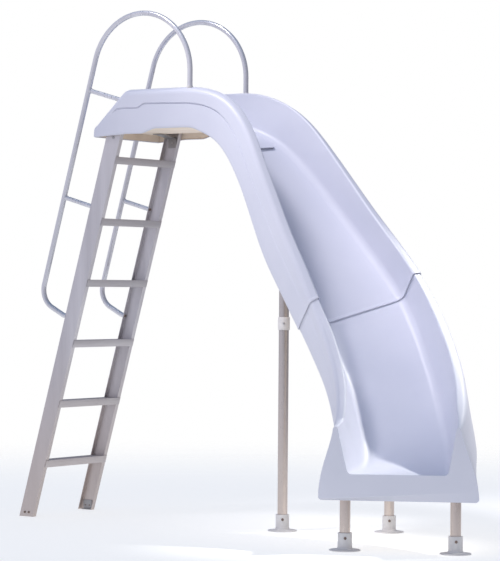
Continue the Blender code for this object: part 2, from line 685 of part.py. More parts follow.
def beside(x, y):
    """Share of the flume abreast of a place in plan."""
    away = np.array((x, y)) - MIDDLE[:, :2]
    return float(np.interp(0.0, -(away * AHEAD[:, :2]).sum(1), SHARE))


def leg_bracket(name, share, x, y, plate_from, plate_to, clear):
    """Plate under the chute's floor with a cup for the tube's top; returns the height of that top."""
    seat, ahead, left, up = floor_frame(share, (plate_from + plate_to) / 2)
    under = seat - up * (SHELL + clear)
    seat_z = under.z - (up.x * (x - under.x) + up.y * (y - under.y)) / up.z
    tilt = math.hypot(up.x, up.y) / up.z
    low = seat_z - BRACKET_PLATE * 1.5 - CUP_R * tilt
    cup_base = low - CUP_GRIP
    made = add_part(name, cylinder_mesh(name, CUP_R, seat_z - cup_base + 0.05, 24), ALUMINIUM, 0.5, 0.7)
    made.location = (x, y, cup_base)
    face = Matrix((ahead, left, up)).transposed().to_4x4()
    face.translation = under
    slab = box_mesh("slab", (-0.3, -0.3, -BRACKET_PLATE / 2), (0.3, 0.3, 0.3))
    apply_boolean(made, add_cutter(slab, face))
    half = (plate_to - plate_from) / 2
    shift = (Vector((x, y, seat_z)) - under).dot(ahead)
    plate = box_mesh("plate", (min(shift, 0) - PLATE_HALF, -half, -BRACKET_PLATE),
                     (max(shift, 0) + PLATE_HALF, half, 0))
    apply_boolean(made, add_cutter(plate, face), 'UNION')
    drill(made, Vector((x, y, cup_base - 0.01)), (0, 0, 1), LEG_R + 0.0004, low - cup_base + 0.01, 24)
    return low - GAP


def supports():
    middle, _ahead, left, _up = station(FRONT_LEG_SHARE)
    aside = Vector((left.x, left.y, 0)).normalized() * FRONT_LEG_OFFSET
    legs = (("support_post", POST_XY, -0.115, 0.0, 0.0030),
            ("front_leg_right", tuple(middle - aside)[:2], -0.285, -0.165, 0.0016),
            ("front_leg_left", tuple(middle + aside)[:2], 0.165, 0.285, 0.0016),
            ("rear_leg", REAR_LEG_XY, 0.100, 0.215, 0.0100))
    for name, (x, y), plate_from, plate_to, clear in legs:
        top = leg_bracket(f"{name}_bracket", beside(x, y), x, y, plate_from, plate_to, clear)
        leg_tube(name, x, y, top)
        socket(name, x, y)
        if name == "support_post":
            post_clamp(x, y)


def post_clamp(x, y):
    """Pale band clamp round the post, with the screw that pinches it."""
    inner, outer = LEG_R + 0.0004, LEG_R + 0.0045
    profile = ((inner, CLAMP_HEIGHT), (outer - 0.001, CLAMP_HEIGHT), (outer, CLAMP_HEIGHT - 0.002), (outer, 0.002),
               (outer - 0.001, 0), (inner, 0))
    made = turned_part("post_clamp", profile, Matrix.Translation((x, y, CLAMP_Z)), PALE_PLASTIC, 0.5, steps=24)
    aim = Vector((math.cos(SET_SCREW_TURN), math.sin(SET_SCREW_TURN), 0))
    seat = Vector((x, y, CLAMP_Z + CLAMP_HEIGHT / 2)) + aim * (outer + 0.0003)
    drill(made, seat + aim * 0.004, -aim, 0.0034, 0.0085, 12)
    bolt("post_clamp_screw", seat, aim, 0.0055, 0.003, 0.0030, 0.0042)


# ---------------------------------------------------------------------------------------------- water outlet

def spray_hood():
    """Low hood over the water hole: its upper edge and sides lie on the floor, its lower edge is an open slot."""
    bm = bmesh.new()
    rows = []
    first, last = HOOD_STATIONS[0], HOOD_STATIONS[-1]
    for share in HOOD_STATIONS:
        middle, _ahead, left, up = station(share)
        short = max(0.0, HOOD_CORNER - (last - share) * FLUME)
        width = HOOD_HALF - (HOOD_CORNER - math.sqrt(max(HOOD_CORNER ** 2 - short ** 2, 0.0)))
        rise = HOOD_RISE * float(smooth_step((share - first) / (last - first)))
        row = []
        for k in range(-5, 6):
            base = middle + up * (HOOD_SEAT + (rise if abs(k) < 5 else 0.0))
            reach = width if abs(k) == 5 else (width - HOOD_SIDE) * k / 4
            row.append(bm.verts.new(base + left * math.copysign(abs(reach), k)))
        rows.append(row)
    for one, two in zip(rows, rows[1:]):
        for j in range(len(one) - 1):
            bm.faces.new((one[j], two[j], two[j + 1], one[j + 1]))
    mesh = bpy.data.meshes.new("spray_hood")
    bm.to_mesh(mesh)
    bm.free()
    made = add_part("spray_hood", mesh, MOULDED, 0.35)
    skin = made.modifiers.new("Thickness", 'SOLIDIFY')
    skin.thickness = HOOD_SKIN
    skin.offset = 1.0
    skin.use_even_offset = True
    skin.use_quality_normals = True


def water_inlet(chute):
    """Pipe through the floor under the hood, square to it, with the bead that holds the swivel nut."""
    middle, _ahead, _left, up = station(INLET_SHARE)
    stand = along(up, middle)
    drill(chute, middle - up * 0.03, up, 0.0112, 0.06, 16)
    seat, bore, bead, low = -SHELL - 0.0022, 0.007, 0.0155, -INLET_DROP
    profile = ((bore, -0.001), (0.0106, -0.001), (0.0106, seat), (0.019, seat), (0.019, seat - 0.004),
               (INLET_R, seat - 0.004), (INLET_R, low + 0.004), (bead, low + 0.004), (bead, low), (bore, low))
    turned_part("water_inlet", profile, stand, PALE_PLASTIC, 0.45)
    nut = add_part("hose_nut", cylinder_mesh("hose_nut", NUT_R, NUT_HEIGHT, 6), DARK_RUBBER, 0.55)
    base = middle + up * (low + 0.0115 - NUT_HEIGHT)
    nut.matrix_world = along(up, base)
    drill(nut, base - up * 0.01, up, bead + 0.0007, NUT_HEIGHT + 0.0035, 24)
    drill(nut, base - up * 0.01, up, INLET_R + 0.0006, NUT_HEIGHT + 0.02, 24)


def centre_frame():
    """Move the assembly so that the world origin is under the middle of its bounding box."""
    bpy.context.view_layer.update()
    graph = bpy.context.evaluated_depsgraph_get()
    low, high = Vector((9, 9, 9)), Vector((-9, -9, -9))
    for piece in PARTS.objects:
        if piece.type != 'MESH':
            continue
        shape = piece.evaluated_get(graph)
        for vertex in shape.data.vertices:
            place = shape.matrix_world @ vertex.co
            low = Vector(map(min, low, place))
            high = Vector(map(max, high, place))
    FRAME.location = (-(low.x + high.x) / 2, -(low.y + high.y) / 2, -low.z)


def build():
    upper = chute_shell("chute_upper", UPPER_STATIONS, 0, upper_sink)
    chute_shell("chute_lower", LOWER_STATIONS, 1, lower_sink)
    for number in range(TREADS):
        tread(number)
    for side, sign in SIDES:
        rail = ladder_rail(side, sign)
        foot_bracket(side, sign, rail)
        platform_bracket(side, sign, rail)
        handrail(side, sign, rail, upper)
        lower_brace(side, sign, rail)
        upper_brace(side, sign, upper)
    supports()
    spray_hood()
    water_inlet(upper)
    centre_frame()


build()
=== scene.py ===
"""Looks of the pool slide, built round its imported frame.

Pieces are shaped in the slide's design frame and then moved by ORIGIN: X is the rider's heading off the
platform, Y the rider's left, Z up, with the ladder's feet on X = 0 and the ladder's centre plane on Y = 0.
Metres throughout.
"""
import math

import bmesh
import bpy
import numpy as np
from mathutils import Matrix, Vector


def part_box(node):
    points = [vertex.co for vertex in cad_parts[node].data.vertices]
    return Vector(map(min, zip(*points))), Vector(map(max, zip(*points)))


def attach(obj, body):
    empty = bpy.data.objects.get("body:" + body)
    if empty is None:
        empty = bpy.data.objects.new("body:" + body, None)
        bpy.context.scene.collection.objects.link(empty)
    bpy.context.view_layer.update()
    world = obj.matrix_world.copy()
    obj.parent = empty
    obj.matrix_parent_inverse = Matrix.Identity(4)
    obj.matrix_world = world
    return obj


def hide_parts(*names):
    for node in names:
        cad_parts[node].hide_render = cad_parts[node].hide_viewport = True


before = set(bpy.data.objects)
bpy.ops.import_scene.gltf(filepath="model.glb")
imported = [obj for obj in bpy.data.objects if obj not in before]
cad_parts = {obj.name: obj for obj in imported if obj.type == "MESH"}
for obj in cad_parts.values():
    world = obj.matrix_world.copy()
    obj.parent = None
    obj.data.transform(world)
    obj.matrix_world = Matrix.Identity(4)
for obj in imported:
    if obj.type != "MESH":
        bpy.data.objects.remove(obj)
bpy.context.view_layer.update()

BODY = "slide"
NUT_BODY = "nut"
GAP = 0.0003

# Ladder
LEAN = math.radians(15.66)        # rails' lean from the vertical, towards the chute
LADDER_WIDTH = 0.508              # over the rails' webs
RAIL_DEPTH = 0.088                # front to back, level
FLANGE = 0.0254
RAIL_WALL = 0.003
RAIL_TOP = 2.000
TREAD_PITCH = 0.3048
FIRST_TREAD = 0.288
TREADS = 6
TREAD_FRONT = 0.036               # height of a tread's front face
TREAD_BACK = 0.024
TREAD_SKIN = 0.003
TREAD_RIBS = 7
RIB_DEPTH = 0.0016
FOOT_BOLT_HEIGHT = 0.022

# Handrails and braces
HANDRAIL_Y = 0.2425
TUBE_R = 0.0127
BRACE_R = 0.011
HOOP_R = 0.294
HOOP_X, HOOP_Z = 0.652, 2.220
FRONT_LEG_END = 2.075             # inside the rim's hollow
HOOK_BEND_R = 0.100
HOOK_TURN = math.radians(27.6)    # the hook's fall from the level
HOOK_Z = 1.018                    # where the hook meets the rail
LOWER_BRACE_Z = 1.616
UPPER_BRACE_Z = 2.148
UPPER_BRACE_REACH = 0.222

# Chute: the line down the middle of its floor, by plan length from the back lip
BACK_LIP_X = 0.386
PLATFORM_Z = 1.951
BREAK_X = 1.0838
FLUME = 1.5147
TURN = math.radians(69.5)
TURN_POWER = 2.47
TURN_END = 0.884
STEEP = math.radians(52.9)
CREST_START, CREST_LENGTH = -0.193, 0.385
RUNOUT_START = 0.636
EXIT_SLOPE = math.radians(7.9)
LAP = 0.455
TONGUE = 0.030
SAMPLES = 481

# Chute: the section. Each table gives (share of the flume, value); shares below 0 lie on the platform.
# BANK, FLOOR_DIP, the walls, the rims, FAR_LEAN and SKIRT_DEPTH from 0.15 to 0.90 hold the rounded result
# of a least-squares fit to the chute's edges in the photo; the other tables were chosen.
SHELL = 0.004
LAP_SINK = SHELL + 0.001
BANK = ((0.0, 0.0), (0.15, 17.0), (0.30, 25.0), (0.455, 29.0), (0.60, 24.5), (0.75, 16.0), (0.90, 4.5),
        (1.0, 0.0))
FLOOR_DIP = ((0.0, 0.0), (0.15, 0.016), (0.30, 0.046), (0.455, 0.063), (0.60, 0.053), (0.75, 0.028),
             (0.90, 0.013), (1.0, 0.0))
NEAR_WALL = ((-0.461, 0.016), (-0.340, 0.190), (0.0, 0.190), (0.15, 0.230), (0.30, 0.247), (0.455, 0.278),
             (0.60, 0.278), (0.75, 0.272), (0.90, 0.241), (1.0, 0.210))
FAR_WALL = ((-0.461, 0.016), (-0.340, 0.190), (0.0, 0.193), (0.15, 0.180), (0.30, 0.185), (0.455, 0.222),
            (0.60, 0.256), (0.75, 0.267), (0.90, 0.244), (1.0, 0.210))
NEAR_RIM = ((0.0, 0.248), (0.30, 0.255), (0.455, 0.243), (0.60, 0.238), (0.75, 0.257),
            (0.90, 0.270), (1.0, 0.276))
FAR_RIM = ((0.0, 0.248), (0.15, 0.265), (0.30, 0.286), (0.455, 0.308), (0.60, 0.296), (0.90, 0.289),
           (1.0, 0.276))
NEAR_LEAN = ((0.0, 11.0), (0.45, 9.0), (1.0, 11.0))
FAR_LEAN = ((0.0, 11.0), (0.15, 4.0), (0.30, 1.5), (0.455, 2.5), (0.60, 10.0), (0.75, 16.0), (0.90, 15.0),
            (1.0, 11.0))
RIM_HALF = ((0.0, 0.025), (0.86, 0.025), (1.0, 0.0095))
SKIRT_DEPTH = ((-0.461, 0.058), (-0.340, 0.220), (-0.268, 0.221), (-0.222, 0.198), (-0.072, 0.198),
               (-0.010, 0.214), (0.05, 0.192), (0.15, 0.172), (0.30, 0.224), (0.455, 0.255), (0.60, 0.233),
               (0.75, 0.216), (0.90, 0.257), (1.0, 0.342))
NEAR_FLARE = ((-0.461, 0.002), (0.0, 0.004), (0.30, 0.020), (0.80, 0.024), (0.93, 0.045), (1.0, 0.082))
FAR_FLARE = ((-0.461, 0.002), (0.0, 0.004), (0.30, 0.016), (0.80, 0.002), (0.93, 0.022), (1.0, 0.082))
FLARE_POWER = 1.3
SKIRT_LIP = ((-0.461, 0.008), (0.90, 0.008), (1.0, 0.018))
CREASE_DEPTH = ((-0.461, 0.030), (-0.385, 0.030), (-0.340, 0.088), (-0.285, 0.092), (-0.262, 0.070),
                (-0.05, 0.078), (1.0, 0.090))
CREASE_STEP = ((-0.461, 0.0), (-0.390, 0.0), (-0.365, 0.004), (0.0, 0.004), (0.25, 0.0015), (1.0, 0.0005))
FLOOR_CORNER = ((0.0, 0.040), (0.85, 0.040), (1.0, 0.022))
RIM_SLOPE = math.radians(16.0)    # the rim's top falls outward from its inner edge
RIM_INNER_R = 0.009
RIM_OUTER_R = 0.030
PLATFORM_BLUR, FLUME_BLUR = 0.050, 0.220   # length over which the tables' corners are rounded
BLEND_START, BLEND_SPAN = -0.10, 0.15      # shares over which one rounding gives way to the other
TURN_BLUR = 0.283
LAP_FADE = 0.10                   # share over which the lower moulding comes up after the lap
STATION_STEP = 0.009
ARC_STEPS = 8
LIP_LENGTH, LIP_RISE = 0.010, 0.0014
EDGE_R = 0.0012
WELD = 0.0032
NUT_WINGS, NUT_RIBS = 12, 72
# Height below which a warm colour is painted into the ladder and legs, standing for light bounced off the
# ground.
PAINTED_BOUNCE_HEIGHT = 1.1
LEGS = ("support_post", "front_leg_right", "front_leg_left", "rear_leg")
GROOVE_HEIGHT = 0.008
GROOVE_DEPTH = 0.003

# Water outlet
HOOD_FIRST, HOOD_LAST = -0.015, 0.063
HOOD_HALF = 0.148
HOOD_CORNER = 0.016
HOOD_SKIN = 0.003
HOOD_RISE = 0.006
HOOD_SEAT = 0.0012
HOOD_SIDE = 0.006
INLET_SHARE = 0.014
INLET_R = 0.0125
INLET_DROP = 0.060
NUT_HEIGHT = 0.022
NUT_R = 0.0215

# Post, legs and their sockets
LEG_R = 0.02415
LEG_WALL = 0.003
SOCKET_R = 0.0325
SOCKET_TOP = 0.081
SOCKET_FLOOR = 0.006
FLANGE_R = 0.071
SET_SCREW_Z = 0.058
SET_SCREW_TURN = math.radians(-56.0)
CLAMP_Z = 0.967
CLAMP_HEIGHT = 0.062

# Finishes
NOISE_RANGE = (0.32, 0.68)        # where most of the noise texture's values lie
# Share of the painted warm ground bounce in the colour at floor level.
PAINTED_BOUNCE_SHARE = 0.85
GRAIN_STRENGTH = 0.6

# Screws: head radius and height, shank radius and length
FOOT_SCREW = (0.006, 0.0035, 0.0032, 0.010)
PLATFORM_SCREW = (0.007, 0.004, 0.0038, 0.012)
RAIL_SCREW = (0.0065, 0.004, 0.0032, 0.014)
SET_SCREW = (0.0065, 0.0045, 0.0038, 0.0070)
CLAMP_SCREW = (0.0055, 0.003, 0.0030, 0.0042)

# Studio
CAMERA_PLACE = Vector((7.705, -9.758, 1.175))
CAMERA_YAW = math.radians(123.92)
CAMERA_PITCH = math.radians(0.14)
CAMERA_ROLL = math.radians(0.45)
LENS_MM = 154.46
SENSOR_MM = 36.0
KEY_AZIMUTH, KEY_HEIGHT = math.radians(51.0), math.radians(57.0)
KEY_DISTANCE, KEY_SOFT, KEY_POWER, KEY_SPAN = 9.0, 0.15, 3300.0, 0.72
KEY_COLOR = (1.0, 0.98, 0.90)
WASH_DIRECTION, WASH_COLOR = (-0.22, -0.50, 0.84), (1.0, 0.96, 0.99)
WASH_DISTANCE, WASH_SOFT, WASH_POWER, WASH_SPAN = 6.0, 0.8, 2100.0, 0.97
AMBIENT, AMBIENT_COLOR = 0.56, (0.90, 0.885, 1.0)
SKY_COLOR, SKY_FROM = (0.26, 0.41, 0.66), 0.10
BRIGHT_SIDE, DIM_SHARE, BRIGHT_SHARE = (-0.83, -0.56, 0.0), 0.62, 1.45
BACKDROP = 1.0
FLOOR_R = 14.0
FLOOR_COLOR = (0.56, 0.56, 0.55)
FLOOR_GLOW = 0.66
FLOOR_FADE = (2.2, 7.0)


def design_origin():
    """World place of the design frame's origin, from where the ladder's rails stand."""
    low_left, high_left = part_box("ladder_rail_left")
    low_right, _high_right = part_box("ladder_rail_right")
    return Vector((low_left.x + RAIL_DEPTH, (high_left.y + low_right.y) / 2, low_left.z))


ORIGIN = design_origin()


# ---------------------------------------------------------------------------------------------- pieces

def add_piece(name, mesh, materials, replaced=(), body=BODY, smooth_angle=35.0):
    """A shown piece made from a mesh in the design frame; it rides on a body and stands for CAD nodes."""
    mesh.materials.clear()
    for one in materials:
        mesh.materials.append(one)
    mesh.transform(Matrix.Translation(ORIGIN))
    mesh.shade_smooth()
    mesh.set_sharp_from_angle(angle=math.radians(smooth_angle))
    made = bpy.data.objects.new(name, mesh)
    bpy.context.scene.collection.objects.link(made)
    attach(made, body)
    if replaced:
        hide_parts(*replaced)
    return made


# ---------------------------------------------------------------------------------------------- shapes

def along(direction, place):
    """Placement whose local Z runs in a direction."""
    return Matrix.Translation(place) @ Vector(direction).to_track_quat('Z', 'Y').to_matrix().to_4x4()


def softened(points, radius, steps=3, closed=True):
    """Points with every corner rounded; short sides keep at least a tenth of their length straight."""
    flat = [Vector((*point, 0)) for point in points]
    made = []
    for k, corner in enumerate(flat):
        before, after = flat[k - 1], flat[(k + 1) % len(flat)]
        if not closed and k in (0, len(flat) - 1):
            made.append(corner)
            continue
        start = corner + (before - corner).normalized() * min(radius, (before - corner).length * 0.45)
        end = corner + (after - corner).normalized() * min(radius, (after - corner).length * 0.45)
        for step in range(steps + 1):
            t = step / steps
            made.append(start * (1 - t) ** 2 + corner * 2 * t * (1 - t) + end * t * t)
    return [(point.x, point.y) for point in made]


def mesh_of(name, bm, matrix=None):
    bmesh.ops.recalc_face_normals(bm, faces=bm.faces)
    mesh = bpy.data.meshes.new(name)
    bm.to_mesh(mesh)
    bm.free()
    if matrix is not None:
        mesh.transform(matrix)
    return mesh


def join_rings(bm, rings, closed=True):
    """Faces between neighbouring rings; a ring of one vertex closes to a point."""
    for one, two in zip(rings, rings[1:]):
        count = max(len(one), len(two))
        for k in range(count if closed else count - 1):
            n = k + 1
            corners = dict.fromkeys((one[k % len(one)], one[n % len(one)],
                                     two[n % len(two)], two[k % len(two)]))
            if len(corners) > 2:
                bm.faces.new(tuple(corners))


def turned_mesh(name, profile, matrix, steps=64):
    """Surface turned about local Z from (radius, height) points; a profile off the axis closes on itself."""
    bm = bmesh.new()
    rings = []
    for radius, height in profile:
        angles = np.linspace(0, 2 * math.pi, steps, endpoint=False) if radius > 0 else (0.0,)
        rings.append([bm.verts.new((radius * math.cos(a), radius * math.sin(a), height)) for a in angles])
    if profile[0][0] > 0:
        rings.append(rings[0])
    join_rings(bm, rings)
    return mesh_of(name, bm, matrix)


def extruded_mesh(name, outlines, matrix):
    """Closed outlines on local XY, each with its own (from, to) along local Z."""
    bm = bmesh.new()
    for outline, low, high in outlines:
        rings = [[bm.verts.new((x, y, z)) for x, y in outline] for z in (low, high)]
        join_rings(bm, rings)
        bm.faces.new(rings[0])
        bm.faces.new(rings[1][::-1])
    return mesh_of(name, bm, matrix)


def rod_mesh(name, points, radius, sides=28):
    """Round bar along a line that stays in one plane of constant Y."""
    places = [Vector(point) for point in points]
    bm = bmesh.new()
    rings = []
    for k, place in enumerate(places):
        run_on = (places[min(k + 1, len(places) - 1)] - places[max(k - 1, 0)]).normalized()
        across = Vector((0, 1, 0))
        over = run_on.cross(across)
        rings.append([bm.verts.new(place + (across * math.cos(a) + over * math.sin(a)) * radius)
                      for a in np.linspace(0, 2 * math.pi, sides, endpoint=False)])
    join_rings(bm, rings)
    bm.faces.new(rings[0])
    bm.faces.new(rings[-1][::-1])
    return mesh_of(name, bm)


def hex_screw_mesh(name, place, direction, head_r, head_h, shank_r, shank_l):
    """Button head with a hexagonal recess, and its shank running back from its seat."""
    steps = 48
    bm = bmesh.new()
    key_r, key_depth = head_r * 0.52, head_h * 0.6
    sector = math.pi / 3
    angles = np.linspace(0, 2 * math.pi, steps, endpoint=False)
    flat = key_r * math.cos(sector / 2)
    hexagon = [flat / math.cos((a + sector / 2) % sector - sector / 2) for a in angles]
    crown = [(head_r * 0.66, head_h), (head_r * 0.86, head_h * 0.82), (head_r * 0.97, head_h * 0.45)]
    shape = [(None, head_h - key_depth), (None, head_h * 0.98)] + crown
    shape += [(head_r, head_h * 0.15), (head_r, 0), (shank_r, 0), (shank_r, -shank_l)]
    rings = [[bm.verts.new((0, 0, head_h - key_depth))]]
    for radius, height in shape:
        reaches = [radius or reach for reach in hexagon]
        rings.append([bm.verts.new((reach * math.cos(a), reach * math.sin(a), height))
                      for reach, a in zip(reaches, angles)])
    rings.append([bm.verts.new((0, 0, -shank_l))])
    join_rings(bm, rings)
    return mesh_of(name, bm, along(direction, place))


# ---------------------------------------------------------------------------------------------- chute line

def smooth_step(x):
    x = np.clip(x, 0.0, 1.0)
    return x * x * (3 - 2 * x)


def blurred(values, width, spacing):
    half = max(1, int(round(width / spacing / 2)))
    weights = np.hanning(2 * half + 1)
    weights /= weights.sum()
    padded = np.concatenate([np.full(half, values[0]), values, np.full(half, values[-1])])
    return np.convolve(padded, weights, 'valid')


def running_sum(values, spacing):
    return np.concatenate([[0.0], np.cumsum((values[1:] + values[:-1]) / 2 * spacing)])


PLAN = np.linspace(0.0, BREAK_X - BACK_LIP_X + FLUME, SAMPLES)
SPACING = PLAN[1] - PLAN[0]
SHARE = (PLAN - (BREAK_X - BACK_LIP_X)) / FLUME


def table(pairs):
    """Values along the chute; corners are rounded closely on the platform and widely on the flume."""
    shares, values = zip(*pairs)
    straight = np.interp(SHARE, shares, values)
    flume = smooth_step((SHARE - BLEND_START) / BLEND_SPAN)
    close, wide = blurred(straight, PLATFORM_BLUR, SPACING), blurred(straight, FLUME_BLUR, SPACING)
    return close * (1 - flume) + wide * flume


TABLES = {name: table(pairs) for name, pairs in {
    "bank": BANK, "dip": FLOOR_DIP, "near_wall": NEAR_WALL, "far_wall": FAR_WALL, "near_rim": NEAR_RIM,
    "far_rim": FAR_RIM, "near_lean": NEAR_LEAN, "far_lean": FAR_LEAN, "rim_half": RIM_HALF,
    "skirt": SKIRT_DEPTH, "near_flare": NEAR_FLARE, "far_flare": FAR_FLARE, "corner": FLOOR_CORNER,
    "lip": SKIRT_LIP, "crease": CREASE_DEPTH, "step": CREASE_STEP}.items()}


def chute_line():
    """Middle of the floor at each sample, with the heading, across and up directions there."""
    share = np.clip(SHARE, 0.0, 1.0)
    heading = blurred(-TURN * np.minimum(share / TURN_END, 1.0) ** TURN_POWER, TURN_BLUR, SPACING)
    runout = smooth_step((share - RUNOUT_START) / (1 - RUNOUT_START))
    crest = smooth_step((PLAN - (BREAK_X - BACK_LIP_X) - CREST_START) / CREST_LENGTH)
    slope = STEEP * crest * (1 - runout) + EXIT_SLOPE * runout
    path = np.stack([BACK_LIP_X + running_sum(np.cos(heading), SPACING),
                     running_sum(np.sin(heading), SPACING),
                     PLATFORM_Z - running_sum(np.tan(slope), SPACING)], 1)
    ahead = np.stack([np.cos(heading) * np.cos(slope), np.sin(heading) * np.cos(slope), -np.sin(slope)], 1)
    level = np.stack([-np.sin(heading), np.cos(heading), 0 * heading], 1)
    square = np.cross(ahead, level)
    bank = np.radians(TABLES["bank"])[:, None]
    left = level * np.cos(bank) + square * np.sin(bank)
    up = square * np.cos(bank) - level * np.sin(bank)
    return path - up * TABLES["dip"][:, None], ahead, left, up


MIDDLE, AHEAD, LEFT, UP = chute_line()


def at(values, share):
    if values.ndim == 1:
        return float(np.interp(share, SHARE, values))
    return np.array([np.interp(share, SHARE, column) for column in values.T])


def station(share):
    """Middle of the floor, and the heading, left and up directions, as vectors."""
    return [Vector(at(values, share)) for values in (MIDDLE, AHEAD, LEFT, UP)]


def arc(cx, cy, radius, start, end, steps):
    angles = np.linspace(math.radians(start), math.radians(end), steps + 1)
    return [(cx + radius * math.cos(a), cy + radius * math.sin(a)) for a in angles]


def run(points, counts):
    """Points along straight runs, each in its own number of steps, without the last corner."""
    made = []
    for (x0, y0), (x1, y1), count in zip(points, points[1:], counts):
        made += [(x0 + (x1 - x0) * k / count, y0 + (y1 - y0) * k / count) for k in range(count)]
    return made


def half_section(share, side):
    """One side of the section, from the skirt's lower lip, over the rim and down to the floor's flat."""
    wall, rim, lean, flare = (at(TABLES[f"{side}_{key}"], share) for key in ("wall", "rim", "lean", "flare"))
    half, skirt, lip, crease, step = (
        at(TABLES[key], share) for key in ("rim_half", "skirt", "lip", "crease", "step"))
    outer, inner = rim + half, rim - half
    inner_r = min(RIM_INNER_R, half * 0.7, wall * 0.4)
    outer_r = min(RIM_OUTER_R, 2 * half - inner_r - 0.001)
    shoulder_z = (wall - inner_r - (outer_r - inner_r) / math.cos(RIM_SLOPE)
                  - (outer - outer_r - inner - inner_r) * math.tan(RIM_SLOPE))
    bottom = wall - skirt
    fall = shoulder_z - bottom

    def panel(height, inset):
        share_down = (shoulder_z - height) / fall
        return outer + flare * math.sin(share_down * math.pi / 2) ** FLARE_POWER - inset, height

    crease_z = min(max(wall - crease, bottom + 0.4 * fall), shoulder_z - 0.1 * fall)
    low_x = panel(bottom, step)[0]
    points = arc(low_x - lip, bottom + lip, lip, -90, -15, 5)
    start = bottom + lip * (1 - math.sin(math.radians(15.0)))
    groove = min(GROOVE_HEIGHT, 0.08 * fall)
    points += [panel(start + (crease_z - groove - start) * k / 12, step) for k in range(1, 13)]
    deep = step + GROOVE_DEPTH * smooth_step(step / 0.003)
    points += [panel(crease_z - groove * down, deep) for down in (0.7, 0.3)]
    points.append(panel(crease_z, 0.0))
    points += [panel(crease_z + (shoulder_z - crease_z) * k / 6, 0.0) for k in range(1, 6)]
    top = 90 - math.degrees(RIM_SLOPE)
    points += arc(outer - outer_r, shoulder_z, outer_r, 0, top, ARC_STEPS)
    points += arc(inner + inner_r, wall - inner_r, inner_r, top, 180, ARC_STEPS)
    lean = math.radians(lean)
    corner = min(at(TABLES["corner"], share), 0.45 * wall)
    corner_x = inner - (wall - inner_r - corner) * math.tan(lean) - corner / math.cos(lean)
    bend = arc(corner_x, corner, corner, -math.degrees(lean), -90, ARC_STEPS)
    points += run([points[-1], bend[0]], (6,))[1:]
    return points + bend


def section(share, sink=0.0):
    """Whole section as (across, up) points, sunk below the slide surface by a distance."""
    near = [(-a, b) for a, b in half_section(share, "near")]
    far = half_section(share, "far")[::-1]
    floor = run([near[-1], far[0]], (12,))[1:]
    flat = np.array(near + floor + far)
    if sink:
        along_it = np.diff(flat, axis=0)
        along_it /= np.linalg.norm(along_it, axis=1)[:, None]
        normal = np.stack([-along_it[:, 1], along_it[:, 0]], 1)
        first = np.vstack([normal[:1], normal])
        both = first + np.vstack([normal, normal[-1:]])
        both /= np.linalg.norm(both, axis=1)[:, None]
        flat = flat - both * (sink / np.maximum((both * first).sum(1), 0.5))[:, None]
    return flat


def chute_shell(name, first, last, closed_end, sink, materials, replaced):
    """Skin lofted through close stations, closed by a flat end, then thickened from the slide surface."""
    bm = bmesh.new()
    rings = []
    count = int(round((last - first) * FLUME / STATION_STEP))
    shares = np.linspace(first, last, count + 1)
    lip = np.linspace(LAP - 1.4 * LIP_LENGTH / FLUME, LAP, 15)
    for share in np.unique(np.concatenate([shares, lip[lip <= last]])):
        middle, _ahead, left, up = station(share)
        rings.append([bm.verts.new(middle + left * a + up * b) for a, b in section(share, sink(share))])
    for one, two in zip(rings, rings[1:]):
        for j in range(len(one) - 1):
            bm.faces.new((one[j], two[j], two[j + 1], one[j + 1]))
    bm.faces.new(rings[0] if closed_end == 0 else rings[-1][::-1])
    mesh = bpy.data.meshes.new(name)
    bm.to_mesh(mesh)
    bm.free()
    made = add_piece(name, mesh, materials, replaced)
    skin = made.modifiers.new("Thickness", 'SOLIDIFY')
    skin.thickness = SHELL
    skin.offset = -1.0
    skin.use_even_offset = True
    skin.use_quality_normals = True
    skin.material_offset = 1
    return made


def upper_sink(share):
    """The upper moulding ends in a raised, rounded lip."""
    back = (LAP - share) * FLUME / LIP_LENGTH
    return -LIP_RISE * math.sqrt(max(0.0, 1 - (2 * back - 1) ** 2)) if back < 1 else 0.0


def lower_sink(share):
    """The lower moulding lies under the upper one at the lap and comes up to the design surface below it."""
    return LAP_SINK * float(1 - smooth_step((share - LAP) / LAP_FADE))


# ---------------------------------------------------------------------------------------------- ladder

RAIL_UP = Vector((math.sin(LEAN), 0, math.cos(LEAN)))
RAIL_AHEAD = Vector((math.cos(LEAN), 0, -math.sin(LEAN)))
HALF_LADDER = LADDER_WIDTH / 2
LEVEL_WALL = RAIL_WALL / math.cos(LEAN)
SIDES = (("right", -1), ("left", 1))
SHEAR = Matrix(((1, 0, math.tan(LEAN), 0), (0, 1, 0, 0), (0, 0, 1, 0), (0, 0, 0, 1)))


def rail_front(z):
    return z * math.tan(LEAN)


def ladder_rail(side, sign, metal):
    """C channel with rolled edges, its foot and top cut level."""
    web, tip, inside = sign * HALF_LADDER, sign * (HALF_LADDER - FLANGE), sign * (HALF_LADDER - RAIL_WALL)
    back = -RAIL_DEPTH
    outline = softened([(back, web), (0, web), (0, tip), (-LEVEL_WALL, tip), (-LEVEL_WALL, inside),
                        (back + LEVEL_WALL, inside), (back + LEVEL_WALL, tip), (back, tip)], EDGE_R)
    mesh = extruded_mesh("rail", [(outline, 0.0, RAIL_TOP)], SHEAR)
    add_piece(f"ladder_rail_{side}_skin", mesh, [metal], [f"ladder_rail_{side}"])


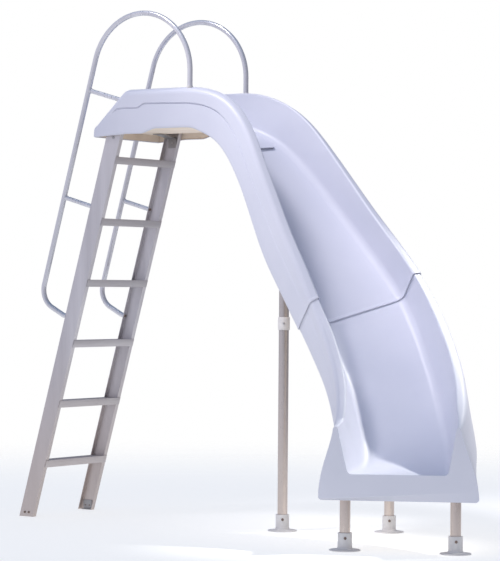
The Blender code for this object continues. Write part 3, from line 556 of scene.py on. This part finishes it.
def tread(number, metal):
    """Extruded tread: ribbed top, a front lip over the rails' flanges and a back lip between them."""
    front, back, lap = 0.0035, -RAIL_DEPTH + LEVEL_WALL + 0.0015, 0.0008
    behind = -LEVEL_WALL - 0.0005
    pitch = (front - back) / (TREAD_RIBS + 0.5)
    ribs = []
    for k in range(TREAD_RIBS):
        start = front - pitch * (k + 0.75)
        ribs += [(start - back_by, -deep) for back_by, deep in
                 ((0.0, 0.0), (0.0015, RIB_DEPTH), (0.0045, RIB_DEPTH), (0.006, 0.0))]
    under = -TREAD_SKIN - RIB_DEPTH
    tail = [(back, 0.0), (back, -TREAD_BACK), (back + TREAD_SKIN, -TREAD_BACK), (back + TREAD_SKIN, under)]
    whole = [(front, -TREAD_FRONT), (front, 0.0)] + ribs + tail + [(front - TREAD_SKIN, under),
                                                                   (front - TREAD_SKIN, -TREAD_FRONT)]
    inner = [(behind, under), (behind, 0.0)] + [rib for rib in ribs if rib[0] < behind] + tail
    lip = [(lap, -TREAD_FRONT), (front, -TREAD_FRONT), (front, 0.0), (lap, 0.0)]
    half = HALF_LADDER - RAIL_WALL - 0.0005
    notch = HALF_LADDER - FLANGE - 0.0005
    whole, inner, lip = (softened(shape, 0.0007, 2) for shape in (whole, inner, lip))
    outlines = [(whole, -notch, notch)]
    for low, high in ((-half, -notch), (notch, half)):
        outlines += [(inner, low, high), (lip, low, high)]
    height = FIRST_TREAD + number * TREAD_PITCH
    place = Matrix.Translation((rail_front(height), 0, height)) @ SHEAR @ Matrix.Rotation(math.pi / 2, 4, 'X')
    mesh = extruded_mesh("tread", outlines, place)
    add_piece(f"tread_{number + 1}_skin", mesh, [metal], [f"tread_{number + 1}"])


def screw(name, place, direction, size, metal):
    mesh = hex_screw_mesh(name, place, direction, *size)
    add_piece(f"{name}_skin", mesh, [metal], [name])


def foot_bolts(side, sign, metal):
    for row, x in (("back", -0.052), ("front", -0.026)):
        place = Vector((x, sign * (HALF_LADDER + GAP), FOOT_BOLT_HEIGHT))
        screw(f"foot_bolt_{row}_{side}", place, (0, sign, 0), FOOT_SCREW, metal)


def platform_bolt(side, sign, metal):
    place = Vector((0.492, sign * (HALF_LADDER + GAP), PLATFORM_Z - SHELL - 0.0408))
    screw(f"platform_bolt_{side}", place, (0, sign, 0), PLATFORM_SCREW, metal)


# ---------------------------------------------------------------------------------------------- handrails

def rear_leg_x(z):
    """Axis of the handrail's rear leg, which runs parallel to the ladder."""
    return HOOP_X - HOOP_R * math.cos(LEAN) - (HOOP_Z + HOOP_R * math.sin(LEAN) - z) * math.tan(LEAN)


def back_of_rail(z):
    return rail_front(z) - RAIL_DEPTH


def reach_to_rail(x, z):
    """Distance from a point to the rail's back face, square to the rail."""
    return (back_of_rail(z) - x) * math.cos(LEAN)


def hook_corner():
    """Where the rear leg's line meets the hook's line, and the hook's last point before the rail."""
    end = Vector((back_of_rail(HOOK_Z), 0, HOOK_Z)) - RAIL_AHEAD * 0.020
    fall = Vector((math.cos(HOOK_TURN), 0, -math.sin(HOOK_TURN)))
    offset = rear_leg_x(end.z) - end.x
    back = -offset / (fall.x + fall.z * -math.tan(LEAN)) if offset else 0.0
    return end - fall * back, end, fall


def handrail_points():
    front_x = HOOP_X + HOOP_R
    points = [(front_x, FRONT_LEG_END), (front_x, 2.16)]
    points += arc(HOOP_X, HOOP_Z, HOOP_R, 0, 180 - math.degrees(LEAN), 72)
    corner, end, _fall = hook_corner()
    turn = math.pi / 2 + LEAN - HOOK_TURN
    start = corner + RAIL_UP * HOOK_BEND_R * math.tan(turn / 2)
    centre = start + RAIL_AHEAD * HOOK_BEND_R
    low = 180 - math.degrees(LEAN)
    points += arc(centre.x, centre.z, HOOK_BEND_R, low, low + math.degrees(turn), 24)
    last = Vector((back_of_rail(HOOK_Z), 0, HOOK_Z)) - RAIL_AHEAD * GAP
    return points + [(end.x, end.z), (last.x, last.z)]


def rail_bolt(name, height, sign, metal):
    middle = Vector((back_of_rail(height), sign * HANDRAIL_Y, height))
    seat = middle + RAIL_AHEAD * (RAIL_WALL + GAP)
    screw(name, seat, RAIL_AHEAD, RAIL_SCREW, metal)


def brace(name, side, sign, height, reach, metal):
    """Straight tube square to the ladder, with a weld bead where it meets the handrail's rear leg."""
    leg = Vector((rear_leg_x(height), sign * HANDRAIL_Y, height))
    bead = [(BRACE_R + WELD * math.cos(a), TUBE_R + WELD * (0.4 + math.sin(a)))
            for a in np.linspace(-math.pi / 2, math.pi / 2, 8)]
    profile = [(0, TUBE_R * 0.8), (BRACE_R, TUBE_R * 0.8)] + bead
    profile += [(BRACE_R, reach - EDGE_R), (BRACE_R - EDGE_R, reach), (0, reach)]
    mesh = turned_mesh(name, profile, along(RAIL_AHEAD, leg), 32)
    add_piece(f"{name}_{side}_skin", mesh, [metal], [f"{name}_{side}"])
    return leg


def handrail(side, sign, tube, plastic, dark):
    points = [(x, sign * HANDRAIL_Y, z) for x, z in handrail_points()]
    bar = rod_mesh("handrail", points, TUBE_R)
    add_piece(f"handrail_{side}_skin", bar, [tube], [f"handrail_{side}"])
    rail_bolt(f"hook_bolt_{side}", HOOK_Z, sign, dark)
    reach = reach_to_rail(rear_leg_x(LOWER_BRACE_Z), LOWER_BRACE_Z) - GAP
    leg = brace("handrail_brace_lower", side, sign, LOWER_BRACE_Z, reach, tube)
    rail_bolt(f"brace_bolt_{side}", (leg + RAIL_AHEAD * reach).z, sign, dark)
    brace("handrail_brace_upper", side, sign, UPPER_BRACE_Z, UPPER_BRACE_REACH, tube)
    low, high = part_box(f"handrail_grommet_{side}")
    place = (low + high) / 2 - ORIGIN
    half = (high.z - low.z) / 2
    inner, outer = 0.0132, 0.0149
    profile = softened([(inner, half), (outer - 0.0003, half), (outer, half - 0.002), (outer, -half),
                        (inner, -half)], 0.0004)
    mesh = turned_mesh("grommet", profile, Matrix.Translation(place), 40)
    add_piece(f"handrail_grommet_{side}_skin", mesh, [plastic], [f"handrail_grommet_{side}"])


# ---------------------------------------------------------------------------------------------- supports

def leg_and_socket(name, tube, plastic, dark):
    """Tube standing in a cast floor flange with a coned foot, held by a set screw."""
    low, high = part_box(name)
    foot = (low + high) / 2 - ORIGIN
    foot.z = 0
    bore = LEG_R - LEG_WALL
    top = high.z - ORIGIN.z
    base = low.z - ORIGIN.z
    wall = softened([(bore, base), (LEG_R, base), (LEG_R, top), (bore, top)], EDGE_R / 2)
    mesh = turned_mesh(name, wall, Matrix.Translation(foot), 56)
    add_piece(f"{name}_skin", mesh, [tube], [name])
    seat = LEG_R + 0.0004
    profile = [(0, SOCKET_FLOOR), (seat, SOCKET_FLOOR), (seat, SOCKET_TOP), (SOCKET_R, SOCKET_TOP),
               (SOCKET_R, 0.018), (SOCKET_R + 0.004, 0.0095), (FLANGE_R - 0.003, 0.006), (FLANGE_R, 0.0045),
               (FLANGE_R, 0), (0, 0)]
    mesh = turned_mesh("socket", softened(profile, 0.0022, 4, closed=False), Matrix.Translation(foot), 72)
    add_piece(f"{name}_socket_skin", mesh, [plastic], [f"{name}_socket"])
    aim = Vector((math.cos(SET_SCREW_TURN), math.sin(SET_SCREW_TURN), 0))
    place = foot + Vector((0, 0, SET_SCREW_Z)) + aim * (SOCKET_R + 0.0004)
    screw(f"{name}_set_screw", place, aim, SET_SCREW, dark)
    return foot


def post_clamp(foot, plastic, bright):
    inner, outer = LEG_R + 0.0004, LEG_R + 0.0045
    band = softened([(inner, CLAMP_HEIGHT), (outer, CLAMP_HEIGHT), (outer, 0), (inner, 0)], 0.0012)
    mesh = turned_mesh("clamp", band, Matrix.Translation(foot + Vector((0, 0, CLAMP_Z))), 64)
    add_piece("post_clamp_skin", mesh, [plastic], ["post_clamp"])
    aim = Vector((math.cos(SET_SCREW_TURN), math.sin(SET_SCREW_TURN), 0))
    place = foot + Vector((0, 0, CLAMP_Z + CLAMP_HEIGHT / 2)) + aim * (outer + 0.0003)
    screw("post_clamp_screw", place, aim, CLAMP_SCREW, bright)


# ---------------------------------------------------------------------------------------------- water outlet

def spray_hood(skin):
    """Low hood over the water hole: upper edge and sides lie on the floor, the lower edge is an open slot."""
    bm = bmesh.new()
    rows = []
    for share in np.linspace(HOOD_FIRST, HOOD_LAST, 40):
        middle, _ahead, left, up = station(share)
        short = max(0.0, HOOD_CORNER - (HOOD_LAST - share) * FLUME)
        width = HOOD_HALF - (HOOD_CORNER - math.sqrt(max(HOOD_CORNER ** 2 - short ** 2, 0.0)))
        rise = HOOD_RISE * float(smooth_step((share - HOOD_FIRST) / (HOOD_LAST - HOOD_FIRST)))
        row = []
        for k in range(-20, 21):
            aside = width * k / 20
            lift = float(smooth_step((width - abs(aside)) / HOOD_SIDE))
            row.append(bm.verts.new(middle + up * (HOOD_SEAT + rise * lift) + left * aside))
        rows.append(row)
    for one, two in zip(rows, rows[1:]):
        for j in range(len(one) - 1):
            bm.faces.new((one[j], two[j], two[j + 1], one[j + 1]))
    mesh = bpy.data.meshes.new("spray_hood")
    bm.to_mesh(mesh)
    bm.free()
    made = add_piece("spray_hood_skin", mesh, [skin], ["spray_hood"])
    thick = made.modifiers.new("Thickness", 'SOLIDIFY')
    thick.thickness = HOOD_SKIN
    thick.offset = 1.0
    thick.use_even_offset = True
    edge = made.modifiers.new("Edge", 'BEVEL')
    edge.width = 0.0008
    edge.segments = 3
    edge.limit_method = 'ANGLE'


def water_inlet(plastic, rubber):
    """Pipe through the floor under the hood, with the ribbed swivel nut that takes the hose."""
    middle, _ahead, _left, up = station(INLET_SHARE)
    seat, bore, bead, low = -SHELL - 0.0022, 0.007, 0.0155, -INLET_DROP
    neck, flange, thick = 0.0106, 0.019, 0.004
    profile = softened([(bore, -0.001), (neck, -0.001), (neck, seat), (flange, seat), (flange, seat - thick),
                        (INLET_R, seat - thick), (INLET_R, low + thick), (bead, low + thick), (bead, low),
                        (bore, low)], 0.0006)
    mesh = turned_mesh("inlet", profile, along(up, middle), 56)
    add_piece("water_inlet_skin", mesh, [plastic], ["water_inlet"])
    base = middle + up * (low + 0.0115 - NUT_HEIGHT)
    bm = bmesh.new()
    steps = 216
    rings = []
    wide, narrow = bead + 0.0007, INLET_R + 0.0006
    face, chamfer, edge, step = NUT_R - 0.0012, NUT_R - 0.0026, 0.0014, NUT_HEIGHT - 0.0065
    shape = [(wide, 0.0, 0), (chamfer, 0.0, 0), (face, edge, 1), (face, NUT_HEIGHT - edge, 1),
             (chamfer, NUT_HEIGHT, 0), (narrow, NUT_HEIGHT, 0), (narrow, step, 0), (wide, step, 0)]
    for radius, height, ribbed in shape + shape[:1]:
        if rings and height == 0.0 and radius == wide:
            rings.append(rings[0])
            break
        ring = []
        for a in np.linspace(0, 2 * math.pi, steps, endpoint=False):
            wing = max(0.0, math.cos(NUT_WINGS / 2 * a)) ** 12 * 0.0012
            reach = radius + ribbed * (wing + 0.0004 * math.cos(NUT_RIBS * a))
            ring.append(bm.verts.new((reach * math.cos(a), reach * math.sin(a), height)))
        rings.append(ring)
    join_rings(bm, rings)
    mesh = mesh_of("hose_nut", bm, along(up, base))
    add_piece("hose_nut_skin", mesh, [rubber], ["hose_nut"], body=NUT_BODY)


# ---------------------------------------------------------------------------------------------- materials

def new_material(name, color, roughness, metallic=0.0):
    made = bpy.data.materials.new(name)
    made.use_nodes = True
    shader = made.node_tree.nodes["Principled BSDF"]
    shader.inputs["Base Color"].default_value = (*color, 1.0)
    shader.inputs["Roughness"].default_value = roughness
    shader.inputs["Metallic"].default_value = metallic
    return made


def noise(nodes, links, place, scale, detail, stretch=(1.0, 1.0, 1.0)):
    """Cloudy value between 0 and 1 through the object's own space."""
    mapping = nodes.new("ShaderNodeMapping")
    mapping.inputs["Scale"].default_value = stretch
    made = nodes.new("ShaderNodeTexNoise")
    made.inputs["Scale"].default_value = scale
    made.inputs["Detail"].default_value = detail
    links.new(place.outputs["Object"], mapping.inputs["Vector"])
    links.new(mapping.outputs["Vector"], made.inputs["Vector"])
    return made.outputs["Fac"]


def spread(nodes, links, value, low, high):
    """Value remapped from the middle of the noise's range to the given ends."""
    made = nodes.new("ShaderNodeMapRange")
    made.inputs["From Min"].default_value = NOISE_RANGE[0]
    made.inputs["From Max"].default_value = NOISE_RANGE[1]
    made.inputs["To Min"].default_value = low
    made.inputs["To Max"].default_value = high
    links.new(value, made.inputs["Value"])
    return made.outputs["Result"]


def mixed(nodes, links, factor, first, second):
    """Colour between two colours; each may be a fixed colour or another node's output."""
    made = nodes.new("ShaderNodeMix")
    made.data_type = 'RGBA'
    links.new(factor, made.inputs[0])
    for socket, value in ((made.inputs[6], first), (made.inputs[7], second)):
        if isinstance(value, tuple):
            socket.default_value = (*value, 1.0)
        else:
            links.new(value, socket)
    return made.outputs[2]


def surface(name, color, aged, roughness, metallic, patch, grain, stretch, relief, painted_bounce=None):
    """Finish whose colour drifts in patches, with grain in its roughness and relief.

    roughness is (low, high), patch and grain are noise scales per metre, relief is the grain's height in
    metres, and painted_bounce is a warm colour painted in towards the floor, standing for light bounced off
    the ground."""
    made = new_material(name, color, roughness[0], metallic)
    nodes, links = made.node_tree.nodes, made.node_tree.links
    shader = nodes["Principled BSDF"]
    place = nodes.new("ShaderNodeTexCoord")
    patches = noise(nodes, links, place, patch, 4.0, stretch)
    fine = noise(nodes, links, place, grain, 3.0, stretch)
    tone = mixed(nodes, links, spread(nodes, links, patches, 0.0, 1.0), color, aged)
    # Painted ground bounce: the colour turns warm towards the floor, standing in for light reflected from the
    # ground.
    if painted_bounce:
        split = nodes.new("ShaderNodeSeparateXYZ")
        links.new(place.outputs["Object"], split.inputs[0])
        fall = nodes.new("ShaderNodeMapRange")
        fall.interpolation_type = 'SMOOTHSTEP'
        fall.inputs["From Min"].default_value = PAINTED_BOUNCE_HEIGHT
        fall.inputs["From Max"].default_value = 0.0
        fall.inputs["To Max"].default_value = PAINTED_BOUNCE_SHARE
        links.new(split.outputs["Z"], fall.inputs["Value"])
        tone = mixed(nodes, links, fall.outputs["Result"], tone, painted_bounce)
    links.new(tone, shader.inputs["Base Color"])
    links.new(spread(nodes, links, fine, *roughness), shader.inputs["Roughness"])
    bump = nodes.new("ShaderNodeBump")
    bump.inputs["Strength"].default_value = GRAIN_STRENGTH
    bump.inputs["Distance"].default_value = relief
    links.new(fine, bump.inputs["Height"])
    links.new(bump.outputs["Normal"], shader.inputs["Normal"])
    return made


def finishes():
    """Every finish: colour, worn colour, roughness, metallic, patches, grain, stretch, relief, painted warm
    ground bounce near the floor.
    """
    even, upright, sideways = (1.0, 1.0, 1.0), (1.0, 1.0, 0.05), (1.0, 0.04, 1.0)
    return {
        "gel": surface(
            "gel_coat", (0.735, 0.745, 0.835), (0.69, 0.705, 0.80), (0.36, 0.50), 0.0, 3.0, 420.0,
            even, 0.00015),
        # Underside of the shell: its bright tan is painted warm light bounced up from the ground; the
        # mottling is random tone.
        "underside_bounce": surface(
            "underside_painted_bounce", (0.97, 0.86, 0.73), (0.86, 0.74, 0.62), (0.6, 0.85), 0.0, 9.0, 160.0,
            even, 0.0009),
        # The last colour here is the painted warm ground bounce near the floor.
        "extruded": surface(
            "extruded_aluminium", (0.70, 0.68, 0.70), (0.58, 0.56, 0.58), (0.36, 0.56), 0.6, 16.0, 240.0,
            (1.0, 1.0, 0.04), 0.00008, (0.58, 0.50, 0.46)),
        # The last colour here is the painted warm ground bounce near the floor.
        "tread": surface(
            "tread_aluminium", (0.60, 0.575, 0.59), (0.46, 0.44, 0.45), (0.38, 0.6), 0.7, 16.0, 240.0,
            sideways, 0.00008, (0.60, 0.54, 0.52)),
        "bracket": surface(
            "bracket_aluminium", (0.42, 0.41, 0.41), (0.33, 0.32, 0.32), (0.4, 0.6), 0.75, 14.0, 260.0,
            even, 0.0001),
        "tube": surface(
            "anodised_tube", (0.80, 0.80, 0.84), (0.68, 0.68, 0.72), (0.26, 0.34), 0.6, 10.0, 90.0,
            upright, 0.00001),
        # The last colour here is the painted warm ground bounce near the floor.
        "leg": surface(
            "leg_tube", (0.60, 0.57, 0.56), (0.48, 0.45, 0.44), (0.26, 0.42), 0.8, 10.0, 300.0,
            upright, 0.00004, (0.62, 0.53, 0.48)),
        "plastic": surface(
            "cast_flange", (0.80, 0.78, 0.77), (0.70, 0.68, 0.67), (0.45, 0.65), 0.0, 25.0, 700.0,
            even, 0.0003),
        "bright": surface(
            "bright_steel", (0.58, 0.58, 0.59), (0.46, 0.46, 0.47), (0.22, 0.4), 1.0, 60.0, 900.0,
            even, 0.00005),
        "dark": surface(
            "dark_steel", (0.24, 0.19, 0.17), (0.34, 0.25, 0.20), (0.4, 0.7), 0.7, 90.0, 900.0,
            even, 0.0001),
        "rubber": surface(
            "dark_rubber", (0.045, 0.045, 0.05), (0.075, 0.075, 0.08), (0.5, 0.75), 0.0, 40.0, 1200.0,
            even, 0.0002),
    }


# ---------------------------------------------------------------------------------------------- studio

def camera():
    level = math.cos(CAMERA_PITCH)
    ahead = Vector((math.cos(CAMERA_YAW) * level, math.sin(CAMERA_YAW) * level, math.sin(CAMERA_PITCH)))
    right = Vector((math.sin(CAMERA_YAW), -math.cos(CAMERA_YAW), 0))
    up = right.cross(ahead)
    turned_right = right * math.cos(CAMERA_ROLL) + up * math.sin(CAMERA_ROLL)
    turned_up = up * math.cos(CAMERA_ROLL) - right * math.sin(CAMERA_ROLL)
    data = bpy.data.cameras.new("camera")
    data.lens = LENS_MM
    data.sensor_width = SENSOR_MM
    data.clip_end = 200.0
    made = bpy.data.objects.new("camera", data)
    turn = Matrix((turned_right, turned_up, -ahead)).transposed().to_4x4()
    made.matrix_world = Matrix.Translation(ORIGIN + CAMERA_PLACE) @ turn
    bpy.context.scene.collection.objects.link(made)
    bpy.context.scene.camera = made


def spot_light(name, target, towards, distance, soft, power, span, color):
    """Lamp at a distance from its target, whose pool of light there has the given radius and a soft edge."""
    data = bpy.data.lights.new(name, 'SPOT')
    data.shadow_soft_size = soft
    data.energy = power
    data.color = color
    data.spot_size = 2 * math.atan(span / distance)
    data.spot_blend = 1.0
    made = bpy.data.objects.new(name, data)
    made.matrix_world = along(towards, Vector(target) + Vector(towards).normalized() * distance)
    bpy.context.scene.collection.objects.link(made)


def studio_world():
    """Soft light, lavender round about and blue overhead, brighter from one side, and a white backdrop."""
    world = bpy.data.worlds.new("studio")
    world.use_nodes = True
    nodes, links = world.node_tree.nodes, world.node_tree.links
    soft = nodes["Background"]
    place = nodes.new("ShaderNodeTexCoord")
    side = nodes.new("ShaderNodeVectorMath")
    side.operation = 'DOT_PRODUCT'
    side.inputs[1].default_value = BRIGHT_SIDE
    strength = nodes.new("ShaderNodeMapRange")
    strength.inputs["From Min"].default_value = -1.0
    strength.inputs["To Min"].default_value = AMBIENT * DIM_SHARE
    strength.inputs["To Max"].default_value = AMBIENT * BRIGHT_SHARE
    height = nodes.new("ShaderNodeSeparateXYZ")
    links.new(place.outputs["Generated"], height.inputs[0])
    rise = nodes.new("ShaderNodeMapRange")
    rise.inputs["From Min"].default_value = SKY_FROM
    links.new(height.outputs["Z"], rise.inputs["Value"])
    links.new(mixed(nodes, links, rise.outputs["Result"], AMBIENT_COLOR, SKY_COLOR), soft.inputs["Color"])
    links.new(place.outputs["Generated"], side.inputs[0])
    links.new(side.outputs["Value"], strength.inputs["Value"])
    links.new(strength.outputs["Result"], soft.inputs["Strength"])
    backdrop = nodes.new("ShaderNodeBackground")
    backdrop.inputs["Color"].default_value = (1.0, 1.0, 1.0, 1.0)
    backdrop.inputs["Strength"].default_value = BACKDROP
    path = nodes.new("ShaderNodeLightPath")
    mix = nodes.new("ShaderNodeMixShader")
    links.new(path.outputs["Is Camera Ray"], mix.inputs[0])
    links.new(soft.outputs[0], mix.inputs[1])
    links.new(backdrop.outputs[0], mix.inputs[2])
    links.new(mix.outputs[0], nodes["World Output"].inputs["Surface"])
    bpy.context.scene.world = world


def floor_material():
    """Pale floor that fades out far from the slide, so that it has no horizon."""
    made = new_material("floor", FLOOR_COLOR, 0.8)
    nodes, links = made.node_tree.nodes, made.node_tree.links
    nodes["Principled BSDF"].inputs["Emission Color"].default_value = (1.0, 1.0, 1.0, 1.0)
    nodes["Principled BSDF"].inputs["Emission Strength"].default_value = FLOOR_GLOW
    place = nodes.new("ShaderNodeTexCoord")
    length = nodes.new("ShaderNodeVectorMath")
    length.operation = 'LENGTH'
    fade = nodes.new("ShaderNodeMapRange")
    fade.interpolation_type = 'SMOOTHSTEP'
    fade.inputs["From Min"].default_value = FLOOR_FADE[0]
    fade.inputs["From Max"].default_value = FLOOR_FADE[1]
    clear = nodes.new("ShaderNodeBsdfTransparent")
    mix = nodes.new("ShaderNodeMixShader")
    links.new(place.outputs["Object"], length.inputs[0])
    links.new(length.outputs["Value"], fade.inputs["Value"])
    links.new(fade.outputs["Result"], mix.inputs[0])
    links.new(nodes["Principled BSDF"].outputs[0], mix.inputs[1])
    links.new(clear.outputs[0], mix.inputs[2])
    links.new(mix.outputs[0], nodes["Material Output"].inputs["Surface"])
    return made


def studio():
    camera()
    flat = math.cos(KEY_HEIGHT)
    towards_key = Vector((flat * math.cos(KEY_AZIMUTH), flat * math.sin(KEY_AZIMUTH), math.sin(KEY_HEIGHT)))
    low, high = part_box("chute_lower")
    lower = Vector(((low.x + high.x) / 2, (low.y + high.y) / 2 - 0.05, low.z + 0.30))
    spot_light("key", lower, towards_key, KEY_DISTANCE, KEY_SOFT, KEY_POWER, KEY_SPAN, KEY_COLOR)
    low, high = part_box("chute_upper")
    upper = Vector((high.x - 0.55, (low.y + high.y) / 2 + 0.05, high.z - 0.30))
    spot_light("wash", upper, WASH_DIRECTION, WASH_DISTANCE, WASH_SOFT, WASH_POWER, WASH_SPAN, WASH_COLOR)
    studio_world()
    bm = bmesh.new()
    bmesh.ops.create_circle(bm, cap_ends=True, radius=FLOOR_R, segments=96)
    mesh = bpy.data.meshes.new("floor")
    bm.to_mesh(mesh)
    bm.free()
    mesh.materials.append(floor_material())
    floor = bpy.data.objects.new("floor", mesh)
    bpy.context.scene.collection.objects.link(floor)


def build():
    finish = finishes()
    # The shell's inner side takes the tan of painted ground bounce.
    shell = (finish["gel"], finish["underside_bounce"])
    chute_shell("chute_upper_skin", SHARE[0], LAP, 0, upper_sink, shell, ("chute_upper",))
    chute_shell("chute_lower_skin", LAP - TONGUE, 1.0, 1, lower_sink, shell, ("chute_lower",))
    for number in range(TREADS):
        tread(number, finish["tread"])
    for side, sign in SIDES:
        ladder_rail(side, sign, finish["extruded"])
        foot_bolts(side, sign, finish["dark"])
        platform_bolt(side, sign, finish["bright"])
        handrail(side, sign, finish["tube"], finish["plastic"], finish["dark"])
    for name in LEGS:
        foot = leg_and_socket(name, finish["leg"], finish["plastic"], finish["dark"])
        if name == "support_post":
            post_clamp(foot, finish["plastic"], finish["bright"])
    spray_hood(finish["gel"])
    water_inlet(finish["plastic"], finish["rubber"])
    for name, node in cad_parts.items():
        if name.endswith(("_bracket", "_bracket_left", "_bracket_right")):
            node.data.materials.clear()
            node.data.materials.append(finish["bracket"])


bpy.context.scene.view_settings.view_transform = 'Standard'
build()
studio()
